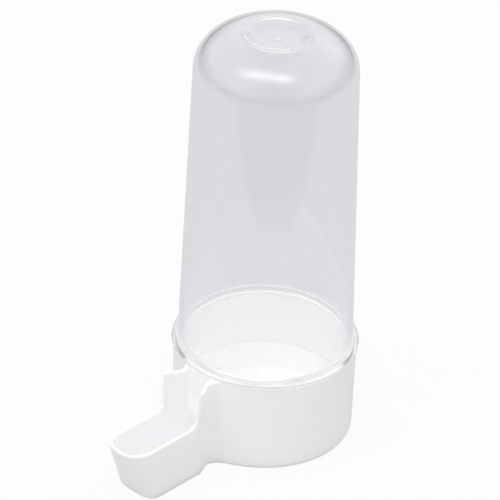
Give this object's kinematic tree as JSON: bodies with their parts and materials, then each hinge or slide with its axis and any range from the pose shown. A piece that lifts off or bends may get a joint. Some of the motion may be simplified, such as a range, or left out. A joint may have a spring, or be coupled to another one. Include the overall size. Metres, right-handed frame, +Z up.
{
  "type": "bird waterer",
  "caption": "Cage-bird siphon drinker: clear domed reservoir tube that plugs into a white round cup with a grooved neck and an open drinking trough.",
  "frame": {"origin": "centre of the cup's underside, on the axis of the cup and tube", "axes": "+Z up along the tube; the trough points to -Y; the part is symmetric about X = 0"},
  "size_m": [0.058, 0.0924, 0.1371],
  "materials": {
    "white_plastic": "white moulded polystyrene, satin gloss",
    "clear_plastic": "clear moulded polystyrene, polished"
  },
  "bodies": {
    "base": {"trough_base": "white_plastic"},
    "tube": {"reservoir_tube": "clear_plastic"}
  },
  "joints": [
    {"name": "tube_lift", "type": "slide", "parent": "base", "child": "tube", "axis": [0, 0, 1], "range_m": [0, 0.04]}
  ]
}
